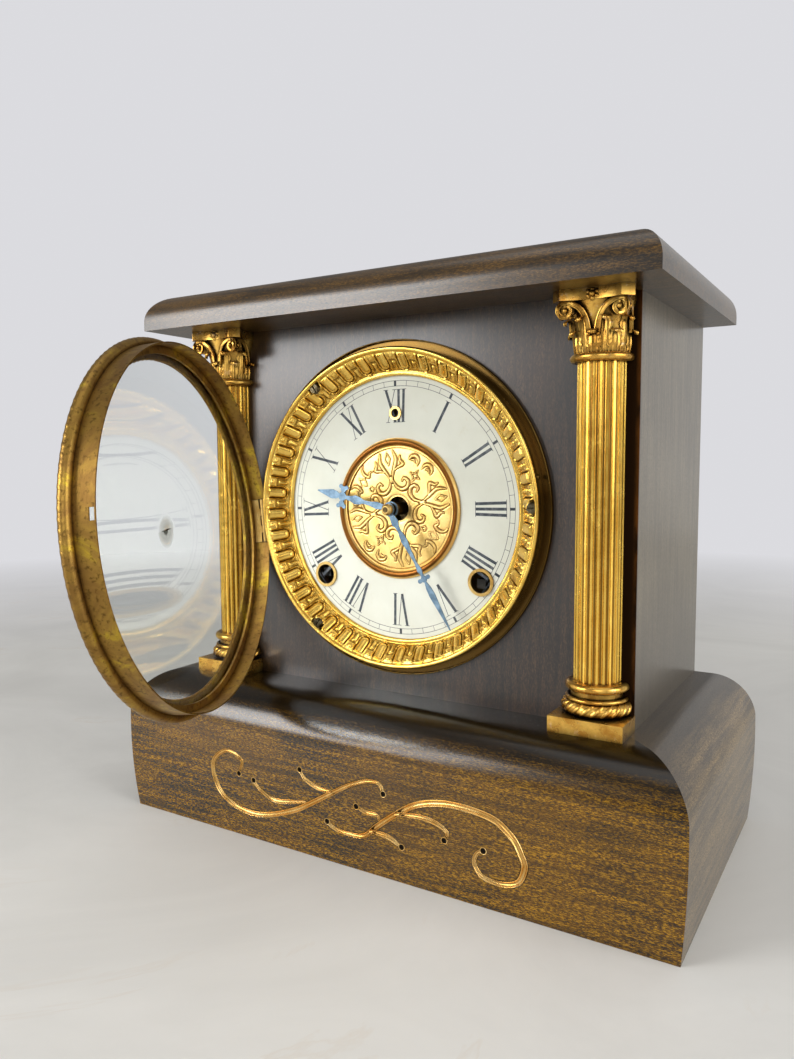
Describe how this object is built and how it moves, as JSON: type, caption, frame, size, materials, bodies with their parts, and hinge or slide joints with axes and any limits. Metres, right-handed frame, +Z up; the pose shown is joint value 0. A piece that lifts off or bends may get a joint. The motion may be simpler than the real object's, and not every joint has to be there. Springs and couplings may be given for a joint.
{
  "type": "shelf clock",
  "caption": "Low wooden shelf clock with a swelling base, gilt columns, a brass dial ring, a hinged round convex glass, and a movement with pendulum and gong.",
  "frame": {"origin": "on the underside, at the middle of the base", "axes": "+X to the clock's right as seen from the front, +Y to the back, +Z up"},
  "size_m": [0.2796, 0.2666, 0.2597],
  "materials": {
    "case_wood": "varnished, aged, rubbed at the edges",
    "front_wood": "dark stained, finely cracked",
    "base_wood": "varnished, glossy, speckled grain",
    "back_wood": "plain, unvarnished",
    "gilt_metal": "gilt, worn",
    "ring_brass": "embossed, lacquered",
    "bezel_brass": "aged, patchy",
    "brass": "turned",
    "plate_brass": "stamped",
    "steel": "bright",
    "gong_steel": "blued",
    "black_iron": "black",
    "hand_blue": "pale blue",
    "dial_white": "enamelled, printed",
    "glass": "clear, convex"
  },
  "bodies": {
    "case": {"top_board": "case_wood", "left_side_panel": "case_wood", "right_side_panel": "case_wood", "front_panel": "front_wood", "back_board": "back_wood", "base_front_moulding": "base_wood", "base_left_moulding": "base_wood", "base_right_moulding": "base_wood", "bottom_board": "back_wood", "back_door_hinges": "steel", "left_capital": "gilt_metal", "left_shaft": "gilt_metal", "left_column_base": "gilt_metal", "right_capital": "gilt_metal", "right_shaft": "gilt_metal", "right_column_base": "gilt_metal", "dial_ring": "ring_brass", "dial_ring_screws": "steel", "dial_pan": "dial_white", "dial_centre": "ring_brass", "dial_grommets": "brass", "door_fixed_leaf": "brass", "front_plate": "plate_brass", "back_plate": "plate_brass", "plate_pillars": "steel", "movement_screws": "steel", "time_mainspring": "steel", "strike_mainspring": "steel", "gong_coil": "gong_steel", "gong_block": "black_iron"},
    "glass_door": {"door_bezel": "bezel_brass", "door_glass": "glass", "glass_retainer": "bezel_brass", "door_moving_leaf": "brass"},
    "minute_set": {"centre_arbor": "steel", "minute_hand": "hand_blue", "hand_collet": "brass"},
    "minute_wheel_body": {"minute_wheel": "plate_brass"},
    "hour_set": {"hour_wheel": "plate_brass", "hour_hand": "hand_blue"},
    "third": {"third_wheel": "plate_brass"},
    "centre": {"centre_wheel": "plate_brass"},
    "second": {"second_wheel": "plate_brass"},
    "escape": {"escape_wheel": "plate_brass"},
    "time_great": {"time_great_wheel": "plate_brass"},
    "time_winding": {"time_winding_arbor": "steel"},
    "time_pawl": {"time_click": "steel"},
    "strike_great": {"strike_great_wheel": "plate_brass"},
    "strike_winding": {"strike_winding_arbor": "steel"},
    "strike_pawl": {"strike_click": "steel"},
    "pins": {"strike_pin_wheel": "plate_brass"},
    "verge_body": {"verge": "steel"},
    "pendulum": {"pendulum_rod": "steel", "pendulum_bob": "brass"},
    "regulator": {"regulator_arbor": "steel"},
    "slide": {"regulator_slide": "plate_brass"},
    "hammer_body": {"hammer": "steel"},
    "back_door_body": {"back_door": "back_wood", "back_door_leaves": "steel"},
    "button": {"back_door_button": "brass"}
  },
  "joints": [
    {"name": "glass_door_hinge", "type": "hinge", "parent": "case", "child": "glass_door", "pos_m": [-0.07392, -0.04335, 0.14899], "axis": [-0.1011, 0, 0.9949], "range_deg": [0, 70.9]},
    {"name": "minute_hand_turn", "type": "hinge", "parent": "case", "child": "minute_set", "pos_m": [0, -0.03345, 0.1565], "axis": [0, 1, 0], "continuous": true},
    {"name": "minute_wheel_turn", "type": "hinge", "parent": "case", "child": "minute_wheel_body", "pos_m": [-0.00848, -0.02745, 0.16498], "axis": [0, 1, 0], "continuous": true},
    {"name": "hour_hand_turn", "type": "hinge", "parent": "case", "child": "hour_set", "pos_m": [0, -0.03145, 0.1565], "axis": [0, 1, 0], "continuous": true},
    {"name": "time_train_run", "type": "hinge", "parent": "case", "child": "third", "pos_m": [-0.01498, -0.00845, 0.17185], "axis": [0, 1, 0], "continuous": true},
    {"name": "centre_wheel_turn", "type": "hinge", "parent": "case", "child": "centre", "pos_m": [0, -0.00845, 0.1565], "axis": [0, 1, 0], "continuous": true},
    {"name": "second_wheel_turn", "type": "hinge", "parent": "case", "child": "second", "pos_m": [0.02472, -0.00845, 0.14423], "axis": [0, 1, 0], "continuous": true},
    {"name": "escape_wheel_turn", "type": "hinge", "parent": "case", "child": "escape", "pos_m": [0, -0.00845, 0.181], "axis": [0, 1, 0], "continuous": true},
    {"name": "time_great_wheel_turn", "type": "hinge", "parent": "case", "child": "time_great", "pos_m": [0.0415, -0.00845, 0.1245], "axis": [0, 1, 0], "continuous": true},
    {"name": "time_winding", "type": "hinge", "parent": "time_great", "child": "time_winding", "pos_m": [0.0415, -0.00845, 0.1245], "axis": [0, 1, 0], "range_deg": [0, 2160]},
    {"name": "time_click_lift", "type": "hinge", "parent": "time_great", "child": "time_pawl", "pos_m": [0.0555, -0.00845, 0.1245], "axis": [0, 1, 0], "range_deg": [0, 12], "stiffness_Nm_per_rad": 0.002, "springref_deg": -5.73},
    {"name": "strike_train_run", "type": "hinge", "parent": "case", "child": "strike_great", "pos_m": [-0.0415, -0.00845, 0.1245], "axis": [0, 1, 0], "continuous": true},
    {"name": "strike_pin_wheel_turn", "type": "hinge", "parent": "case", "child": "pins", "pos_m": [-0.02472, -0.00845, 0.14423], "axis": [0, 1, 0], "continuous": true},
    {"name": "strike_winding", "type": "hinge", "parent": "strike_great", "child": "strike_winding", "pos_m": [-0.0415, -0.00845, 0.1245], "axis": [0, 1, 0], "range_deg": [0, 2160]},
    {"name": "strike_click_lift", "type": "hinge", "parent": "strike_great", "child": "strike_pawl", "pos_m": [-0.0275, -0.00845, 0.1245], "axis": [0, 1, 0], "range_deg": [0, 12], "stiffness_Nm_per_rad": 0.002, "springref_deg": -5.73},
    {"name": "pendulum_swing", "type": "hinge", "parent": "case", "child": "pendulum", "pos_m": [0, 0.01755, 0.195], "axis": [0, 1, 0], "range_deg": [-5, 5]},
    {"name": "verge_rock", "type": "hinge", "parent": "case", "child": "verge_body", "pos_m": [0, 0.00155, 0.195], "axis": [0, 1, 0], "range_deg": [-5, 5]},
    {"name": "regulator_turn", "type": "hinge", "parent": "case", "child": "regulator", "pos_m": [0, 0.01155, 0.2], "axis": [0, 1, 0], "range_deg": [-60, 60]},
    {"name": "regulator_slide_move", "type": "slide", "parent": "case", "child": "slide", "axis": [0, 0, 1], "range_m": [-0.0025, 0.0025]},
    {"name": "hammer_lift", "type": "hinge", "parent": "case", "child": "hammer_body", "pos_m": [-0.042, 0.03555, 0.1565], "axis": [0, 1, 0], "range_deg": [0, 12]},
    {"name": "back_door_swing", "type": "hinge", "parent": "case", "child": "back_door_body", "pos_m": [0.048, 0.07385, 0.15], "axis": [0, 0, -1], "range_deg": [0, 110]},
    {"name": "button_turn", "type": "hinge", "parent": "case", "child": "button", "pos_m": [-0.055, 0.07185, 0.15], "axis": [0, 1, 0], "range_deg": [0, 90]}
  ],
  "couplings": [
    {"joint": "minute_wheel_turn", "follows": "minute_hand_turn", "ratio": -0.33333},
    {"joint": "hour_hand_turn", "follows": "minute_hand_turn", "ratio": 0.083333},
    {"joint": "centre_wheel_turn", "follows": "time_train_run", "ratio": -0.083333},
    {"joint": "second_wheel_turn", "follows": "time_train_run", "ratio": 0.020833},
    {"joint": "time_great_wheel_turn", "follows": "time_train_run", "ratio": -0.0032552},
    {"joint": "escape_wheel_turn", "follows": "time_train_run", "ratio": -12},
    {"joint": "strike_pin_wheel_turn", "follows": "strike_train_run", "ratio": -6.4},
    {"joint": "verge_rock", "follows": "pendulum_swing", "ratio": 1},
    {"joint": "regulator_turn", "follows": "regulator_slide_move", "rad_per_m": -416.67}
  ]
}
